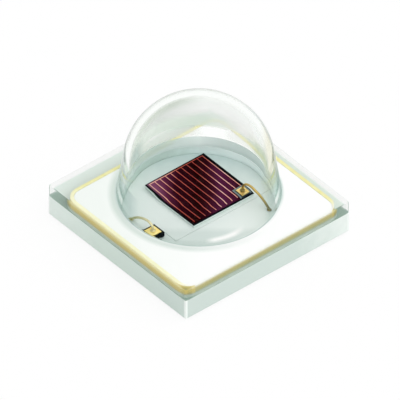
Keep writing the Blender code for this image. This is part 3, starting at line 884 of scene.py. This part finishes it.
def lens_piece(finish):
    bm = bmesh.new()
    apex = bm.verts.new(Vector((0, 0, DOME_CENTRE + DOME_RADIUS)) * MM)
    rings = []
    for outline, height, sharp in lens_rings():
        places = [outline(2 * math.pi * index / LENS_POINTS) for index in range(LENS_POINTS)]
        rings.append(([bm.verts.new(Vector((*place, height)) * MM) for place in places], sharp))
    inner_apex = bm.verts.new(Vector((0, 0, DOME_CENTRE + DOME_RADIUS - DOME_WALL)) * MM)
    for index in range(LENS_POINTS):
        after = (index + 1) % LENS_POINTS
        bm.faces.new((apex, rings[0][0][index], rings[0][0][after]))
        for (upper, _), (lower, _) in zip(rings, rings[1:]):
            bm.faces.new((upper[index], lower[index], lower[after], upper[after]))
        bm.faces.new((inner_apex, rings[-1][0][after], rings[-1][0][index]))
    for ring, sharp in rings:
        if sharp:
            for index in range(LENS_POINTS):
                bm.edges.get((ring[index], ring[(index + 1) % LENS_POINTS])).smooth = False
    piece = smooth_piece(bm, "lens_clear", finish)
    mark_upright_edges(piece.data)
    return piece


# Points of a wire loop from its ball to its stitch
def loop_points(start, end, rise, count=48):
    lift = Vector((0, 0, rise))
    level = end - start
    level.z = 0
    handles = (start, start + lift, end - level * 0.3 + lift * 0.85, end)
    points = []
    for step in range(count + 1):
        t = step / count
        weights = ((1 - t) ** 3, 3 * t * (1 - t) ** 2, 3 * t * t * (1 - t), t ** 3)
        points.append(sum((handle * weight for handle, weight in zip(handles, weights)), Vector()))
    return points


# Round rings along a path, each turned to its direction, joined into a closed tube
def sweep(bm, points, radii, sides=20):
    across = (points[-1] - points[0]).cross(Vector((0, 0, 1))).normalized()
    rings = []
    for index, point in enumerate(points):
        before = points[max(index - 1, 0)]
        after = points[min(index + 1, len(points) - 1)]
        up = across.cross((after - before).normalized()).normalized()
        wide, high = radii(index / (len(points) - 1))
        ring = []
        for side in range(sides):
            angle = 2 * math.pi * side / sides
            offset = across * math.cos(angle) * wide + up * math.sin(angle) * high
            ring.append(bm.verts.new((point + offset) * MM))
        rings.append(ring)
    for first, second in zip(rings, rings[1:]):
        for side in range(sides):
            after = (side + 1) % sides
            bm.faces.new((first[side], first[after], second[after], second[side]))
    bm.faces.new(reversed(rings[0]))
    bm.faces.new(rings[-1])


# Half widths of the wire across and up: round, and flatter where it nears the stitch
def wire_radii(share):
    flat = max(0.0, (share - STITCH_START) / (1 - STITCH_START))
    return WIRE_RADIUS * (1 + 0.5 * flat), WIRE_RADIUS * (1 - 0.5 * flat)


def squashed_ball(bm, centre, radius, height):
    squash = Matrix.Diagonal((radius, radius, height / 2, 1.0))
    place = Matrix.Scale(MM, 4) @ Matrix.Translation(centre) @ squash
    bmesh.ops.create_uvsphere(bm, u_segments=32, v_segments=16, radius=1.0, matrix=place)


def wire_piece(name, pad, angle, rise, finish):
    low, high = node_box(pad)
    start = Vector(((low.x + high.x) / 2, (low.y + high.y) / 2, high.z + BALL_HEIGHT / 2))
    stitch_level = LAND_TOP + STITCH_HEIGHT / 2
    end = Vector((STITCH_REACH * math.cos(angle), STITCH_REACH * math.sin(angle), stitch_level))
    bm = bmesh.new()
    sweep(bm, loop_points(start, end, rise), wire_radii)
    squashed_ball(bm, start, BALL_RADIUS, BALL_HEIGHT)
    squashed_ball(bm, end, STITCH_RADIUS, STITCH_HEIGHT)
    bmesh.ops.recalc_face_normals(bm, faces=bm.faces)
    return smooth_piece(bm, name, finish)


# Lowest and highest corners of a node, in millimetres
def node_box(name):
    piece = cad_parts[name]
    places = [piece.matrix_world @ vertex.co / MM for vertex in piece.data.vertices]
    low = Vector([min(place[index] for place in places) for index in range(3)])
    high = Vector([max(place[index] for place in places) for index in range(3)])
    return low, high


def dress(finishes):
    wanted = {
        "ceramic": ["ceramic_substrate"],
        "layer": ["ceramic_upper_layer"],
        "ring": ["cavity_ring"],
        "frame": ["gold_frame"],
        "white": ["white_layer"],
        "pad": ["cathode_pad", "thermal_pad", "anode_pad"],
        "land": [
            "via_left_front", "via_left_back", "via_right_front", "via_right_back", "die_land", "wire_land",
        ],
        "bright_solder": ["die_attach"],
        "solder": ["diode_attach"],
        "carrier": ["chip_carrier"],
        "silicon": ["protection_diode"],
        "emitter": ["emitter_layer"],
        "contact": ["contact_grid"],
        "gold": ["chip_bond_pad"],
        "pale_gold": ["diode_pad"],
        "wire": ["chip_bond_wire"],
        "pale_wire": ["diode_bond_wire"],
    }
    for finish, nodes in wanted.items():
        for node in nodes:
            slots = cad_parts[node].data.materials
            slots.clear()
            slots.append(finishes[finish])


def fit(piece, node):
    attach(piece, "root")
    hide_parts(node)


# 1 for rays that see a surface plainly: straight, through glass or in a mirror
def seen_plainly(tree):
    path = add_node(tree, "ShaderNodeLightPath")
    plain = ("Is Camera Ray", "Is Transmission Ray", "Is Glossy Ray")
    return maximum(tree, *(path.outputs[name] for name in plain))


def add_floor():
    bpy.ops.mesh.primitive_plane_add(size=FLOOR_SIZE * MM, location=(0, 0, FLOOR_LEVEL * MM))
    floor = bpy.context.object
    floor.name = "floor"
    made, tree, shader = nodes_of("floor")
    feed(tree, (FLOOR_WHITE, FLOOR_WHITE, FLOOR_WHITE), shader.inputs["Base Color"])
    shader.inputs["Roughness"].default_value = 1.0
    glow = add_node(tree, "ShaderNodeEmission")
    feed(tree, (1.0, 1.0, 1.0), glow.inputs["Color"])
    glow.inputs["Strength"].default_value = 1.0
    share = scaled(tree, seen_plainly(tree), FLOOR_GLOW)
    surface = mixed(tree, share, shader.outputs["BSDF"], glow.outputs["Emission"])
    link(tree, surface, tree.nodes["Material Output"].inputs["Surface"])
    floor.data.materials.append(made)


def add_world():
    world = bpy.data.worlds.new("studio")
    bpy.context.scene.world = world
    world.use_nodes = True
    tree = world.node_tree
    background = tree.nodes["Background"]
    feed(tree, (1.0, 1.0, 1.0), background.inputs["Color"])
    link(tree, spread(tree, seen_plainly(tree), WORLD_FILL, 1.0), background.inputs["Strength"])


def add_sun():
    light = bpy.data.lights.new("key", "SUN")
    light.energy = KEY_STRENGTH
    light.angle = math.radians(KEY_SIZE)
    lamp = bpy.data.objects.new("key", light)
    azimuth, elevation = math.radians(KEY_AZIMUTH), math.radians(KEY_ELEVATION)
    level = math.cos(elevation)
    towards = Vector((level * math.cos(azimuth), level * math.sin(azimuth), math.sin(elevation)))
    lamp.rotation_euler = towards.to_track_quat("Z", "Y").to_euler()
    lamp.location = towards * LAMP_DISTANCE * MM
    bpy.context.scene.collection.objects.link(lamp)


def add_camera():
    right = Vector((math.cos(AZIMUTH), math.sin(AZIMUTH), 0))
    back = Vector((-math.sin(AZIMUTH), math.cos(AZIMUTH), 0))
    up = back * math.sin(ELEVATION) + Vector((0, 0, math.cos(ELEVATION)))
    away = -back * math.cos(ELEVATION) + Vector((0, 0, math.sin(ELEVATION)))
    middle = FRAME_PIXELS / 2
    target = right * (middle - ORIGIN_PIXEL[0]) + up * (ORIGIN_PIXEL[1] - middle)
    target *= MM / PIXELS_PER_MM
    data = bpy.data.cameras.new("camera")
    data.type = "ORTHO"
    data.ortho_scale = FRAME_PIXELS / PIXELS_PER_MM * MM
    data.clip_start = 0.1 * MM
    data.clip_end = 1.0
    camera = bpy.data.objects.new("camera", data)
    camera.location = target + away * CAMERA_DISTANCE * MM
    camera.rotation_euler = away.to_track_quat("Z", "Y").to_euler()
    bpy.context.scene.collection.objects.link(camera)
    bpy.context.scene.camera = camera


add_camera()
finishes = {
    "ceramic": ceramic_material(),
    "layer": layer_material(),
    "ring": ring_material(),
    "white": white_material(),
    "frame": frame_material(),
    "gold": mottled("gold", srgb(246, 198, 100), srgb(255, 234, 164), 0.34, 22.0, 0.0012, metallic=0.9),
    "pale_gold": mottled("pale_gold", srgb(253, 220, 112), srgb(255, 246, 176), 0.4, 22.0, 0.0012),
    "wire": wire_material("wire_gold", srgb(128, 118, 72), srgb(236, 200, 112)),
    "pale_wire": wire_material("wire_pale_gold", srgb(206, 196, 150), srgb(238, 230, 190)),
    "pad": mottled("pad_gold", srgb(214, 184, 104), srgb(240, 214, 138), 0.36, 6.0, 0.0015, metallic=1.0),
    "land": land_material(),
    "solder": mottled("solder", srgb(60, 66, 66), srgb(104, 110, 108), 0.5, 20.0, 0.002, metallic=0.5),
    "bright_solder": mottled("bright_solder", srgb(204, 216, 212), srgb(222, 232, 228), 0.5, 20.0, 0.001),
    "carrier": carrier_material(),
    "silicon": mottled(
        "silicon", srgb(4, 8, 12), srgb(18, 24, 28), 0.5, 10.0, 0.0006, specular=DARK_SPECULAR
    ),
    "emitter": emitter_material(),
    "contact": contact_material(),
    "lens": lens_material(),
}
dress(finishes)
chip_wire = wire_piece("chip_wire", "chip_bond_pad", CHIP_WIRE_ANGLE, CHIP_WIRE_RISE, finishes["wire"])
fit(chip_wire, "chip_bond_wire")
diode_wire = wire_piece("diode_wire", "diode_pad", DIODE_WIRE_ANGLE, DIODE_WIRE_RISE, finishes["pale_wire"])
fit(diode_wire, "diode_bond_wire")
fit(lens_piece(finishes["lens"]), "lens")
add_floor()
add_world()
add_sun()
bpy.context.scene.view_settings.view_transform = "Standard"
